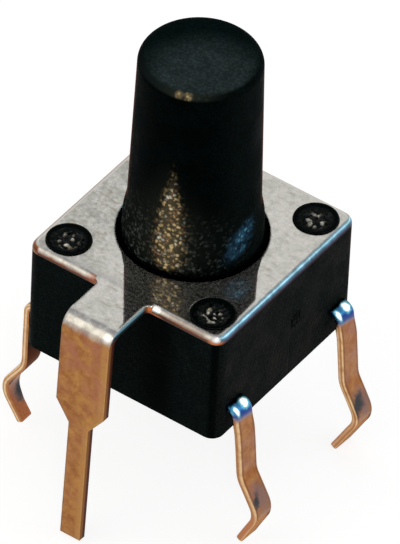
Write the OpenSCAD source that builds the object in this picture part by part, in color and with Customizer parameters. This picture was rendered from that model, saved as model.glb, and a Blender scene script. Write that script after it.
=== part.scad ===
// Tactile push button switch: a square through-hole switch with a tall round plunger,
// four formed legs and a ground terminal folded from the metal cover.
// Sizes are in millimetres. The board's surface is z = 0, the plunger points up, the legs
// leave towards +X and -X, and the ground terminal leaves towards -Y.

/* [Housing] */
// Width and depth of the square housing and of the cover on it
body_w = 6.1; // [5.8:0.1:7.5]
// Height of the moulded base, up to the cover's underside
base_h = 3.28; // [2.9:0.02:4.5]
// Corner radius of the housing and the cover in plan
corner_r = 0.35; // [0.25:0.05:0.7]
// Plastic over the strips, which is the floor of the chamber
floor_skin = 0.15; // [0.1:0.01:0.3]
// Side of the square mark that the moulding gate leaves on the +X side
gate_w = 0.4; // [0.2:0.05:0.8]
// Place of that mark's middle along Y
gate_y = 0.4; // [-0.8:0.1:0.8]
// Height of its middle above the board
gate_z = 1.8; // [1.5:0.1:2]
// Depth of the mark
gate_depth = 0.04; // [0.02:0.01:0.1]

/* [Cover] */
// Thickness of the cover's sheet metal
cover_t = 0.22; // [0.2:0.01:0.3]
// Radius that the shearing leaves along the plate's upper edge
plate_roll = 0.18; // [0.05:0.01:0.2]
// Diameter of the four rivet holes
rivet_hole_d = 1.12; // [0.8:0.01:1.15]
// Radius of the rounded mouth of each punched hole
mouth_r = 0.06; // [0.02:0.01:0.1]
// Metal left between the mouth of a rivet hole and the two nearest sides
rivet_margin = 0.15; // [0.12:0.01:0.18]

/* [Ground terminal] */
// Width of the tab that leaves the cover
tab_w = 1.5; // [1.2:0.05:2]
// How far the tab's outer face stands out from the housing at the bend
tab_out = 1.6; // [1:0.05:2.2]
// Radius of the bend, inside the sheet
tab_bend_r = 0.25; // [0.15:0.05:0.5]
// How far the tab leans outwards from straight down, in degrees
tab_lean = 3; // [0:0.5:6]
// Height at which the tab's shoulders start
shoulder_top = 0.7; // [0.5:0.05:1]
// Height at which the shoulders have narrowed to the pin
shoulder_end = 0.1; // [-0.2:0.05:0.3]
// Width of the narrow ground pin
ground_pin_w = 0.62; // [0.5:0.01:0.9]
// Depth of the ground pin's tip below the board
ground_pin_tip = 3.65; // [3:0.05:4.5]
// Radius of the inner corners where the tab meets the plate
tab_corner_r = 0.15; // [0.05:0.05:0.3]

/* [Terminal strips] */
// Thickness of the strips' sheet metal
strip_t = 0.2; // [0.15:0.01:0.25]
// Width of the legs and of the bars between them
leg_w = 0.65; // [0.5:0.05:0.8]
// Distance from the housing's front and rear face to the nearest edge of a leg
leg_inset = 0.45; // [0.3:0.05:0.5]
// Height of the strips' underside above the board
strip_z = 0.75; // [0.5:0.05:0.8]
// How far the outer face of a right leg stands out from the housing's side
right_leg_out = 0.57; // [0.35:0.01:0.8]
// The same for a left leg, which is bent closer in
left_leg_out = 0.39; // [0.35:0.01:0.8]
// How far the centreline's corner beside the housing stands out from its side
leg_corner_out = 0.26; // [0.26:0.01:0.4]
// Centreline radius of that bend
leg_bend_r = 0.25; // [0.15:0.01:0.25]
// Depth below the board at which the leg's kink starts
kink_start = 1.25; // [1:0.05:1.6]
// Depth of the kink's widest point
kink_peak = 2.45; // [2.2:0.05:2.8]
// How far the kink's widest point stands out from the straight part
kink_out = 0.57; // [0.2:0.01:0.8]
// How far the tip comes back in from the widest point
kink_back = 0.45; // [0.2:0.01:0.6]
// Centreline radius of the bend into the kink
kink_entry_r = 0.6; // [0.2:0.05:1]
// Centreline radius of the bend at its widest point
kink_peak_r = 0.3; // [0.2:0.05:0.5]
// Depth of the legs' tips below the board
leg_tip = 3.5; // [3.2:0.05:4]

/* [Contacts] */
// Height of the raised contact pads above the chamber's floor
pad_proud = 0.05; // [0.02:0.01:0.1]
// Diameter of the centre contact pad
centre_pad_d = 0.9; // [0.5:0.05:1.2]
// Diameter of the two outer contact pads
outer_pad_d = 0.6; // [0.4:0.05:0.6]
// Distance from the dome's rim inwards to the middle of an outer pad
pad_inset = 0.12; // [0.05:0.01:0.2]

/* [Snap dome] */
// Height of the dome's underside at its centre, above its rim
dome_rise = 0.27; // [0.2:0.01:0.35]
// Thickness of the dome's metal
dome_t = 0.07; // [0.05:0.01:0.1]

/* [Plunger] */
// Height of the plunger's top above the board
overall_h = 9.5; // [4.3:0.1:13]
// Diameter of the stem where it leaves the cover
stem_base_d = 3.54; // [3:0.02:3.6]
// Diameter of the stem at its top, before the edge is rounded
stem_top_d = 3.2; // [2.8:0.02:3.5]
// Radius of the stem's top edge
stem_edge_r = 0.3; // [0.1:0.05:0.5]
// Thickness of the flange that holds the plunger under the cover
flange_t = 0.45; // [0.3:0.05:0.5]
// Overlap of the flange under the cover, past the stem hole
flange_grip = 0.2; // [0.1:0.01:0.22]
// Diameter of the puck below the flange
puck_d = 2.6; // [2:0.1:3]
// Diameter of the pip that presses the dome
pip_d = 0.9; // [0.5:0.05:1.2]
// Height of that pip
pip_h = 0.4; // [0.35:0.05:0.5]

/* [Clearances] */
// Gap all round the stem in the cover's hole
stem_gap = 0.2; // [0.15:0.01:0.22]
// Gap between the flange and the chamber's wall
flange_gap = 0.18; // [0.1:0.01:0.2]
// Gap between the dome's rim and the chamber's wall
dome_gap = 0.35; // [0.2:0.01:0.4]
// Gap between each rivet post and the cover
rivet_gap = 0.02; // [0.01:0.01:0.05]
// Height of the rivet heads above the cover
rivet_proud = 0.03; // [0.01:0.01:0.1]
// Depth of the dimple that the melting tool leaves in each head
dimple_depth = 0.07; // [0.02:0.01:0.1]
// Gap between the flange and the cover's underside, at rest
lift_gap = 0.02; // [0.01:0.01:0.05]
// Gap between the pip and the dome, at rest
press_gap = 0.01; // [0.01:0.01:0.03]

/* [Hidden] */
$fn = 64;
cut = 1;
// Added to the radii of sheet metal bends, so that each arc meets the straights at a clear point
bend_lap = 0.0005;

half_w = body_w / 2;
cover_top = base_h + cover_t;
post_pos = half_w - rivet_margin - mouth_r - rivet_hole_d / 2;
dimple_r = 0.4;

// Round sizes, from the stem outwards
stem_hole_d = stem_base_d + 2 * stem_gap;
flange_d = stem_hole_d + 2 * flange_grip;
chamber_d = flange_d + 2 * flange_gap;
dome_d = chamber_d - 2 * dome_gap;
outer_pad_x = dome_d / 2 - pad_inset;

// Heights inside, from the strips upwards
floor_z = strip_z + strip_t + floor_skin;
contact_z = floor_z + pad_proud;
pad_h = contact_z - strip_z;
leg_y = half_w - leg_inset - leg_w / 2;

mould_black = [0.05, 0.055, 0.06];
contact_copper = [0.72, 0.47, 0.3];

// The dome is a part of a hollow ball, cut off level at its rim
dome_inner_r = (pow(dome_d / 2, 2) + pow(dome_rise, 2)) / (2 * dome_rise);
dome_centre_z = contact_z + dome_rise - dome_inner_r;
dome_top = contact_z + dome_rise + dome_t;

// The stem's taper, carried down to the flange
flange_top = base_h - lift_gap;
stem_taper = (stem_base_d - stem_top_d) / 2 / (overall_h - cover_top);
stem_foot_r = stem_base_d / 2 + stem_taper * (cover_top - flange_top);
pip_tip = dome_top + press_gap;
puck_end = pip_tip + pip_h;

leg_z = strip_z + strip_t / 2;
leg_bends = [0, leg_bend_r, kink_entry_r, kink_peak_r, 0];

// Corner points of the ground terminal's centreline; x runs outwards from the cover's edge
tab_z = cover_top - cover_t / 2;
tab_drop = tab_z + ground_pin_tip;
tab_path = [
    [-plate_roll - tab_corner_r, tab_z],
    [tab_out - cover_t / 2, tab_z],
    [tab_out - cover_t / 2 + tab_drop * tan(tab_lean), -ground_pin_tip]
];
tab_bends = [0, tab_bend_r + cover_t / 2, 0];

// Corner points of a leg's centreline, from the housing's middle to the tip
function leg_path(out) =
    let (face_x = half_w + out - strip_t / 2) [
        [0, leg_z],
        [half_w + leg_corner_out, leg_z],
        [face_x, -kink_start],
        [face_x + kink_out, -kink_peak],
        [face_x + kink_out - kink_back, -leg_tip]
    ];

// Direction of the line from a to b
function heading(a, b) = atan2(b[1] - a[1], b[0] - a[0]);

// Direction of a path before and after its point i
function heading_in(path, i) = heading(path[max(i - 1, 0)], path[max(i, 1)]);
function heading_out(path, i) =
    let (last = len(path) - 1) heading(path[min(i, last - 1)], path[min(i + 1, last)]);

// Corner that the edge of a sheet has at the path's point i, at the distance d to its left
function edge_corner(path, i, d) =
    let (a = heading_in(path, i), b = heading_out(path, i))
    path[i] + d / cos((b - a) / 2) * [-sin((a + b) / 2), cos((a + b) / 2)];

// Kite about the x axis from the origin to a corner, where tangents of the radius r meet
module bend_kite(r, half_turn) {
    polygon([
        [0, 0], r * [cos(half_turn), -sin(half_turn)],
        [r / cos(half_turn), 0], r * [cos(half_turn), sin(half_turn)]
    ]);
}

// Moves a bend drawn about the origin, with its corner on the x axis, to the path's point i
module at_bend(path, i, r) {
    bend = heading_out(path, i) - heading_in(path, i);
    middle = (heading_in(path, i) + heading_out(path, i)) / 2;
    translate(path[i]) rotate(middle - sign(bend) * 90)
        translate([-r / cos(bend / 2), 0]) children();
}

// Side view of sheet metal of the thickness t, folded along a path with a round bend at
// each inner point; radii holds the centreline radius of every bend
module folded_outline(path, radii, t) {
    last = len(path) - 1;
    half_turns = [for (i = [0:last]) abs(heading_out(path, i) - heading_in(path, i)) / 2];
    difference() {
        union() {
            polygon(concat(
                [for (i = [0:last]) edge_corner(path, i, t / 2)],
                [for (i = [last:-1:0]) edge_corner(path, i, -t / 2)]
            ));
            // what the inner side of each bend has more than the sharp corner
            for (i = [1:last - 1]) at_bend(path, i, radii[i]) difference() {
                bend_kite(radii[i], half_turns[i]);
                circle(r = radii[i] - t / 2 + bend_lap);
            }
        }
        // what its outer side has less
        for (i = [1:last - 1]) at_bend(path, i, radii[i]) difference() {
            bend_kite(radii[i] + 2 * t, half_turns[i]);
            circle(r = radii[i] + t / 2 + bend_lap);
        }
    }
}

// Square of the side w with round corners of the radius r
module rounded_square(w, r) {
    inner = w - 2 * r;
    square([w, inner], center = true);
    square([inner, w], center = true);
    for (x = [-1, 1], y = [-1, 1]) translate([x, y] * inner / 2) circle(r = r);
}

// The four rivet places
module at_posts() {
    for (x = [-1, 1], y = [-1, 1]) translate([x, y, 0] * post_pos) children();
}

// Flat strip with a round far end, from the height strip_z up by strip_t
module strip_tongue(w, length) {
    translate([-w / 2, -length, strip_z]) cube([w, length, strip_t]);
    translate([0, 0, strip_z]) cylinder(d = w, h = strip_t);
}

// One leg, with half of the bar that runs through the housing
module leg(out) {
    rotate([90, 0, 0]) linear_extrude(height = leg_w, center = true)
        folded_outline(leg_path(out), leg_bends, strip_t);
}

module leg_pair() {
    leg(right_leg_out);
    mirror([1, 0, 0]) leg(left_leg_out);
}

// Front strip: its tongue reaches back to the centre contact
module front_strip_shape() {
    translate([0, -leg_y, 0]) leg_pair();
    strip_tongue(leg_w, leg_y);
    translate([0, 0, strip_z]) cylinder(d = centre_pad_d, h = pad_h);
}

// Rear strip: two tongues reach forwards to the outer contacts
module rear_strip_shape() {
    translate([0, leg_y, 0]) leg_pair();
    for (side = [-1, 1]) translate([side * outer_pad_x, 0, 0]) {
        mirror([0, 1, 0]) strip_tongue(leg_w, leg_y);
        translate([0, 0, strip_z]) cylinder(d = outer_pad_d, h = pad_h);
    }
}

// Half section of what a punched hole takes away, with the rounded mouth at the top face
module punched_section(d) {
    mouth_edge = d / 2 + mouth_r;
    square_h = cut + cover_t - mouth_r;
    translate([0, -cut]) square([d / 2, square_h]);
    difference() {
        translate([0, cover_t - mouth_r]) square([mouth_edge, mouth_r + cut]);
        translate([mouth_edge, cover_t - mouth_r]) circle(r = mouth_r);
    }
}

module punched_hole(d) {
    translate([0, 0, base_h]) rotate_extrude() punched_section(d);
}

// Half section of a rivet: the post, and the dimpled head melted into the hole's mouth
module rivet_section() {
    mouth_edge = rivet_hole_d / 2 + mouth_r;
    mouth_z = cover_t - mouth_r;
    head_z = cover_t + rivet_proud;
    difference() {
        square([mouth_edge - rivet_gap, head_z]);
        translate([rivet_hole_d / 2 - rivet_gap, -cut]) square([mouth_r + cut, mouth_z + cut]);
        translate([mouth_edge, mouth_z]) circle(r = mouth_r + rivet_gap);
        translate([0, head_z + dimple_r - dimple_depth]) circle(r = dimple_r);
    }
}

module rivet_post() {
    translate([0, 0, base_h]) rotate_extrude() rivet_section();
}

// Section of the plate's sheared edge with its rolled upper corner, corner_r deep
module edge_section() {
    difference() {
        square([corner_r, cover_t]);
        translate([corner_r - plate_roll, cover_t - plate_roll]) difference() {
            square(2 * plate_roll);
            circle(r = plate_roll);
        }
    }
}

// The plate without its holes
module cover_plate() {
    inner = body_w - 2 * corner_r;
    translate([0, 0, base_h]) {
        translate([-inner / 2, -inner / 2, 0]) cube([inner, inner, cover_t]);
        for (i = [0:3]) rotate(90 * i) {
            translate([inner / 2, 0, 0]) rotate([90, 0, 0])
                linear_extrude(height = inner, center = true) edge_section();
            translate([inner / 2, inner / 2, 0]) rotate_extrude(angle = 90) edge_section();
        }
    }
}

// Front view of the ground terminal: tab, shoulders and pin
module tab_outline() {
    polygon([
        [-tab_w / 2, cover_top + cut],
        [-tab_w / 2, shoulder_top],
        [-ground_pin_w / 2, shoulder_end],
        [-ground_pin_w / 2, -ground_pin_tip - cut],
        [ground_pin_w / 2, -ground_pin_tip - cut],
        [ground_pin_w / 2, shoulder_end],
        [tab_w / 2, shoulder_top],
        [tab_w / 2, cover_top + cut]
    ]);
}

// One of the rounded inner corners between the tab and the plate, on the +X side
module tab_corner() {
    difference() {
        translate([-tab_corner_r, -tab_corner_r]) square([2 * tab_corner_r, tab_corner_r + plate_roll]);
        translate([tab_corner_r, -tab_corner_r]) circle(r = tab_corner_r);
    }
}

module ground_terminal() {
    translate([0, -half_w, 0]) {
        intersection() {
            rotate([90, 0, -90]) linear_extrude(height = tab_w, center = true)
                folded_outline(tab_path, tab_bends, cover_t);
            rotate([90, 0, 0]) linear_extrude(height = 4 * tab_out, center = true) tab_outline();
        }
        for (side = [0, 1]) mirror([side, 0, 0])
            translate([tab_w / 2, 0, base_h]) linear_extrude(height = cover_t) tab_corner();
    }
}

module housing() {
    color(mould_black) difference() {
        union() {
            linear_extrude(height = base_h) rounded_square(body_w, corner_r);
            at_posts() rivet_post();
        }
        translate([0, 0, floor_z]) cylinder(d = chamber_d, h = base_h - floor_z + cut);
        front_strip_shape();
        rear_strip_shape();
        translate([half_w - gate_depth + cut / 2, gate_y, gate_z]) cube([cut, gate_w, gate_w], center = true);
    }
}

module cover() {
    color([0.78, 0.77, 0.75]) difference() {
        union() {
            cover_plate();
            ground_terminal();
        }
        punched_hole(stem_hole_d);
        at_posts() punched_hole(rivet_hole_d);
    }
}

// Half section of the plunger: tapered stem with a rounded top edge, flange, puck and pip
module plunger_section() {
    stem_r = stem_top_d / 2;
    edge_z = overall_h - stem_edge_r;
    difference() {
        polygon([
            [0, overall_h], [stem_r, overall_h], [stem_r, edge_z],
            [stem_foot_r, flange_top], [flange_d / 2, flange_top],
            [flange_d / 2, flange_top - flange_t], [puck_d / 2, flange_top - flange_t],
            [puck_d / 2, puck_end], [pip_d / 2, puck_end], [pip_d / 2, pip_tip], [0, pip_tip]
        ]);
        translate([stem_r - stem_edge_r, edge_z]) difference() {
            square(2 * stem_edge_r);
            circle(r = stem_edge_r);
        }
    }
}

module plunger() {
    color(mould_black) rotate_extrude() plunger_section();
}

module snap_dome() {
    color("silver") rotate_extrude() difference() {
        intersection() {
            translate([0, dome_centre_z]) circle(r = dome_inner_r + dome_t);
            translate([0, contact_z]) square([dome_d / 2, dome_rise + dome_t]);
        }
        translate([0, dome_centre_z]) circle(r = dome_inner_r);
    }
}

module terminal_strip_front() {
    color(contact_copper) front_strip_shape();
}

module terminal_strip_rear() {
    color(contact_copper) rear_strip_shape();
}

housing();
cover();
plunger();
snap_dome();
terminal_strip_front();
terminal_strip_rear();
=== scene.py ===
from math import atan2, ceil, copysign, cos, hypot, pi, radians, sin, sqrt, tan

import bmesh
import bpy
from mathutils import Matrix, Vector, noise


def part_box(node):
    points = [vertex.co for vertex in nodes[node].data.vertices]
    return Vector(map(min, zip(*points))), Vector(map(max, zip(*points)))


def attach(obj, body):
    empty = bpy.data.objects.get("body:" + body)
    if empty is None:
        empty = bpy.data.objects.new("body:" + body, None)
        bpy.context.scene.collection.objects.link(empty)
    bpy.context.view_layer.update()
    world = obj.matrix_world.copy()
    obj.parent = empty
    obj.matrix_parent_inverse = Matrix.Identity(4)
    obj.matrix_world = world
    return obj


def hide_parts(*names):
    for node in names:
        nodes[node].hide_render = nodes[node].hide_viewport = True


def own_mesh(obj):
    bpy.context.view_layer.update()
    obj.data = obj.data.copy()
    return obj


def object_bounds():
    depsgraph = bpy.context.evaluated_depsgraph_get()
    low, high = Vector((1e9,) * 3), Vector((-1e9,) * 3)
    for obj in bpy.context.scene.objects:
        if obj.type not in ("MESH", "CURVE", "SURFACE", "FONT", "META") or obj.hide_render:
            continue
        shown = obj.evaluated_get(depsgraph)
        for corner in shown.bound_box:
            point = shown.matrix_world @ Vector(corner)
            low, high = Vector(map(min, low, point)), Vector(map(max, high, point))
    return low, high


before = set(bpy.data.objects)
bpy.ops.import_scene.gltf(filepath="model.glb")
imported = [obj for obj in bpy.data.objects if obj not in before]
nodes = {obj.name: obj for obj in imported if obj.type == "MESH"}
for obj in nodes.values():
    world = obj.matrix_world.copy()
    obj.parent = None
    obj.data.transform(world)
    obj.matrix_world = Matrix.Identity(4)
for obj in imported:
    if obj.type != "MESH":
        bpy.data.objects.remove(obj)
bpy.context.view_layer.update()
mm = 0.001
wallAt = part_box("housing")[1].x / mm
print("frame loaded:", ", ".join(sorted(nodes)))


# Helpers for node trees; new nodes go into the tree that was opened last
bench = {}


def feed(value, socket):
    if isinstance(value, bpy.types.NodeSocket):
        bench["tree"].links.new(value, socket)
    elif socket.type == "RGBA":
        socket.default_value = (*value, 1)
    else:
        socket.default_value = value


def putNode(kind, inputs=None, **settings):
    node = bench["tree"].nodes.new("ShaderNode" + kind)
    for name, value in settings.items():
        setattr(node, name, value)
    for name, value in (inputs or {}).items():
        feed(value, node.inputs[name])
    return node.outputs


def calc(operation, a, b=0, c=0):
    return putNode("Math", {0: a, 1: b, 2: c}, operation=operation)[0]


def times(first, *others):
    for other in others:
        first = calc("MULTIPLY", first, other)
    return first


def timesPlus(a, b, c):
    return calc("MULTIPLY_ADD", a, b, c)


def plus(a, b):
    return calc("ADD", a, b)


def minus(a, b):
    return calc("SUBTRACT", a, b)


def gap(a, b):
    return calc("ABSOLUTE", minus(a, b))


def fade(value, low, high, outLow=0, outHigh=1):
    limits = {0: value, 1: low, 2: high, 3: outLow, 4: outHigh}
    return putNode("MapRange", limits, interpolation_type="SMOOTHSTEP")["Result"]


def ease(share, start, stop):
    return fade(share, 0, 1, start, stop)


def blend(amount, a, b, way="MIX"):
    return putNode("Mix", {0: amount, 6: a, 7: b}, data_type="RGBA", blend_type=way)[2]


# Lays named colours over one another, each by its own mask
def paintOver(colour, paints, layers):
    for mask, name in layers:
        colour = blend(mask, colour, paints[name])
    return colour


def startGroup(name, inputs, outputs, vectors=()):
    group = bench["tree"] = bpy.data.node_groups.new(name, "ShaderNodeTree")
    for label, value in inputs.items():
        socket = group.interface.new_socket(name=label, in_out="INPUT",
                                            socket_type="NodeSocketFloat")
        socket.default_value = value
    for label in outputs + vectors:
        kind = "Vector" if label in vectors else "Float"
        group.interface.new_socket(name=label, in_out="OUTPUT", socket_type="NodeSocket" + kind)
    source = group.nodes.new("NodeGroupInput").outputs
    return group, source, group.nodes.new("NodeGroupOutput").inputs


def placeGroup(group, **values):
    return putNode("Group", values, node_tree=group)


def millimetres():
    return putNode("VectorMath", {0: putNode("TexCoord")["Object"], "Scale": 1 / mm},
                   operation="SCALE")[0]


def seededPlace(seed):
    shift = putNode("CombineXYZ", {0: seed, 1: seed})[0]
    return putNode("VectorMath", {0: millimetres(), 1: shift})[0]


def splitXYZ(vector):
    return putNode("SeparateXYZ", {0: vector})


def faceNormal():
    return splitXYZ(putNode("TexCoord")["Normal"])


def distanceTo(place, spot):
    return putNode("VectorMath", {0: place, 1: spot}, operation="DISTANCE")["Value"]


def attribute(name):
    return putNode("Attribute", attribute_name=name)["Fac"]


def noiseAt(place, cells, detail=2.0, roughness=0.5, seed=0.0):
    moved = putNode("VectorMath", {0: place, 1: (seed, seed * 1.7, -seed)})[0]
    return putNode("TexNoise", {"Vector": moved, "Scale": cells, "Detail": detail,
                                "Roughness": roughness})["Fac"]


def shadeBy(colour, amount):
    grey = putNode("CombineColor", {0: amount, 1: amount, 2: amount})[0]
    return blend(1, colour, grey, "MULTIPLY")


def colourBands(value, bands):
    ramp = putNode("ValToRGB", {"Fac": value})["Color"]
    stops = ramp.node.color_ramp.elements
    while len(stops) < len(bands):
        stops.new(0.5)
    for stop, (place, colour) in zip(stops, bands):
        stop.position, stop.color = place, (*colour, 1)
    return ramp


# Spark-eroded mould grain: round pits and bumps, with slow patches over them
def buildMouldGrain():
    group, source, result = startGroup("mouldGrain", {"cellsPerMm": 12, "seed": 0},
                                       ("height", "patches"))
    place = seededPlace(source["seed"])
    pits = putNode("TexVoronoi", {"Vector": place, "Scale": source["cellsPerMm"]})["Distance"]
    fine = putNode("TexNoise", {"Vector": place, "Detail": 2,
                                "Scale": times(source["cellsPerMm"], 1.3)})["Fac"]
    feed(timesPlus(pits, -0.6, fine), result["height"])
    feed(fade(noiseAt(place, 1.3), 0.3, 0.7), result["patches"])
    return group


# Worn or rolled edges, for wear and for painted edge highlights: where a rounded normal leaves the
# face's own normal
def buildEdgeWearAndSheen():
    group, source, result = startGroup("edgeWearAndSheen", {"radiusMm": 0.05, "breakUp": 0.4}, ("edge",),
                                       ("rounded",))
    rounded = putNode("Bevel", {"Radius": times(source["radiusMm"], mm)}, samples=6)["Normal"]
    facing = putNode("NewGeometry")["Normal"]
    agree = putNode("VectorMath", {0: rounded, 1: facing}, operation="DOT_PRODUCT")["Value"]
    turned = fade(agree, 0.995, 0.86)
    chips = fade(noiseAt(millimetres(), 9, 3), 0.35, 0.65)
    kept = minus(1, times(chips, source["breakUp"]))
    feed(times(turned, kept), result["edge"])
    feed(rounded, result["rounded"])
    return group


# Which way a face of the folded sheet looks, and where it is in mm
def buildSheetSides():
    group, source, result = startGroup("sheetSides", {"softness": 0.2},
                                       ("tilt", "right", "rear", "across", "along", "height"))
    parts = faceNormal()
    start = minus(0.5, source["softness"])
    stop = plus(0.5, source["softness"])
    feed(fade(parts["X"], start, stop), result["right"])
    behind = calc("MAXIMUM", parts["Y"], times(parts["X"], -1))
    feed(fade(behind, 0.02, 0.2), result["rear"])
    feed(calc("MAXIMUM", parts["Z"], 0), result["tilt"])
    place = splitXYZ(millimetres())
    for axis, name in (("X", "across"), ("Y", "along"), ("Z", "height")):
        feed(place[axis], result[name])
    return group


# Uneven plating: cloudy patches, small dark flecks and a fine relief
def buildPlatingMottle():
    group, source, result = startGroup("platingMottle",
                                       {"cloudsPerMm": 2.2, "fleckShare": 0.3, "seed": 0},
                                       ("clouds", "flecks", "relief"))
    place = seededPlace(source["seed"])
    clouds = putNode("TexNoise", {"Vector": place, "Detail": 4, "Roughness": 0.62,
                                  "Scale": source["cloudsPerMm"]})["Fac"]
    feed(fade(clouds, 0.3, 0.7), result["clouds"])
    # flecks are drawn out along the direction the sheet was rolled in
    rolled = putNode("Mapping",
                     {0: place, "Rotation": (0, 0, radians(-34)), "Scale": (0.42, 1, 1)})[0]
    specks = noiseAt(rolled, 7.5, 3, 0.6, 4)
    limit = minus(0.72, times(source["fleckShare"], 0.3))
    flecks = fade(specks, limit, plus(limit, 0.2))
    zones = fade(noiseAt(place, 1.1, 1, 0.5, 7), 0.3, 0.6, 0.25, 1)
    feed(times(flecks, zones), result["flecks"])
    feed(noiseAt(place, 13, 2), result["relief"])
    return group


# Fine dust on whatever faces up
def buildSettledDust():
    group, source, result = startGroup("settledDust", {"amount": 0.5}, ("dust",))
    up = faceNormal()["Z"]
    specks = fade(noiseAt(millimetres(), 12, 4, 0.7, 2), 0.4, 0.68)
    film = times(fade(up, 0.75, 1), source["amount"])
    feed(times(film, timesPlus(specks, 0.8, 0.2)), result["dust"])
    return group


# Scattered soft sparks for painted glints, and a value that varies their tint
def buildSparkle():
    group, source, result = startGroup("sparkle", {"sparksPerMm": 9, "cover": 0.5, "seed": 0},
                                       ("sparks", "tint"))
    place = seededPlace(source["seed"])
    warp = putNode("TexNoise", {"Vector": place, "Scale": 7, "Detail": 1})["Color"]
    shift = putNode("VectorMath", {0: warp, "Scale": 0.12}, operation="SCALE")[0]
    bent = putNode("VectorMath", {0: place, 1: shift})[0]
    cells = putNode("TexVoronoi", {"Vector": bent, "Scale": source["sparksPerMm"]})
    chance = putNode("SeparateColor", {"Color": cells["Color"]})
    body = fade(cells["Distance"], 0.72, 0.15)
    limit = minus(1, source["cover"])
    lit = fade(chance["Red"], limit, plus(limit, 0.8))
    feed(times(body, lit), result["sparks"])
    feed(chance["Green"], result["tint"])
    return group


mouldGrain, edgeWearAndSheen, sheetSides = buildMouldGrain(), buildEdgeWearAndSheen(), buildSheetSides()
platingMottle, settledDust, sparkle = buildPlatingMottle(), buildSettledDust(), buildSparkle()
print("effect groups built")


def newMaterial(name):
    material = bpy.data.materials.new(name)
    material.use_nodes = True
    bench["tree"] = material.node_tree
    return material, material.node_tree.nodes["Principled BSDF"]


def setShader(shader, **values):
    for name, value in values.items():
        feed(value, shader.inputs[name.replace("_", " ")])


def bumpFrom(height, strength, depthMm, **more):
    return putNode("Bump", {"Height": height, "Strength": strength, "Distance": depthMm * mm,
                            **more})["Normal"]


# Black moulded body
housingFinish = {
    "front": (0.0014, 0.0042, 0.004), "frontPatch": (0.0046, 0.0086, 0.008),
    "tabShadow": (0.0001, 0.0008, 0.0008), "tabShadowX": 1.15, "right": (0.0072, 0.008, 0.007),
    "rightPatch": (0.006, 0.0092, 0.0084), "worn": (0.02, 0.022, 0.02),
    "cornerShade": (0.0003, 0.0014, 0.0014), "warmRimSheen": (0.15, 0.04, 0.022),
    "seam": (0.0006, 0.001, 0.001), "seamY": 0.18, "seamWidth": 0.04, "seamTop": 1.7,
}


def housingPlastic():
    finish = housingFinish
    material, shader = newMaterial("housingMoulding")
    grain = placeGroup(mouldGrain, cellsPerMm=15)
    edging = placeGroup(edgeWearAndSheen, radiusMm=0.05, breakUp=0.7)
    sides = placeGroup(sheetSides, softness=0.48)
    dust = placeGroup(settledDust, amount=0.5)
    front = blend(grain["patches"], finish["front"], finish["frontPatch"])
    # painted shadow: the front is painted darkest close beside the folded terminal, where its
    # shadow falls
    beside = gap(sides["across"], finish["tabShadowX"])
    front = blend(fade(beside, 0.8, 0.1), front, finish["tabShadow"])
    # painted light: the right face is painted lighter and warmer than the front, as the light
    # falls on it
    right = blend(grain["patches"], finish["right"], finish["rightPatch"])
    colour = blend(sides["right"], front, right)
    # painted shade: the rounded upright corners are painted darker than the flats
    between = times(fade(sides["right"], 0, 0.3), fade(sides["right"], 1, 0.7))
    colour = blend(between, colour, finish["cornerShade"])
    colour = shadeBy(colour, fade(grain["height"], 0, 0.6, 0.5, 1.6))
    # the mould halves meet in a faint upright line below the gate
    away = gap(sides["along"], finish["seamY"])
    below = fade(sides["height"], finish["seamTop"], finish["seamTop"] - 0.4)
    seam = times(fade(away, finish["seamWidth"], 0), below)
    # painted sheen: a thin warm line where a face turns away from view
    turned = putNode("LayerWeight")["Facing"]
    colour = paintOver(colour, finish, [
        (times(edging["edge"], 0.12), "worn"), (dust["dust"], "worn"), (times(seam, 0.6), "seam"),
        (fade(turned, 0.78, 0.96, 0, 0.6), "warmRimSheen")])
    height = timesPlus(seam, -0.8, grain["height"])
    setShader(shader, Base_Color=colour, Roughness=ease(grain["patches"], 0.45, 0.62),
              Specular_IOR_Level=0.009, Normal=bumpFrom(height, 0.6, 0.02, Normal=edging["rounded"]))
    return material


# Black matt stem, with painted reflections low on its sides and painted highlights on its rim
stemFinish = {
    "side": (0.0002, 0.0008, 0.0008), "sideWorn": (0.001, 0.003, 0.0029),
    "sideRightLit": (0.0022, 0.0048, 0.0045), "top": (0.025, 0.037, 0.0382),
    "topShade": (0.0015, 0.0055, 0.0055), "rimSheen": (0.008, 0.014, 0.013),
    "rimGlow": (0.042, 0.048, 0.036), "reflectionRed": (0.3, 0.145, 0.07),
    "reflectionGold": (0.84, 0.62, 0.28), "reflectionCream": (0.92, 0.9, 0.78), "reflectionBase": (0.08, 0.066, 0.04),
    "reflectionHaze": (0.013, 0.015, 0.012), "greyReflection": (0.13, 0.15, 0.13),
    "blueReflection": (0.018, 0.052, 0.094), "blueReflectionSpark": (0.09, 0.3, 0.44),
    "warmRimSheen": (0.18, 0.05, 0.028), "holeShade": (0, 0.0001, 0.0001),
    # turns are radians to the right of the front, heights in mm
    "streakTurn": 0.245, "reflectionHazeTurn": 0.14, "blueTurn": 1.36, "blueZ": 4.34, "glowTurn": 0.38,
    "glintTurns": (0.26, 0.41), "topLit": (0.55, -0.65, 9.5),
}


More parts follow.
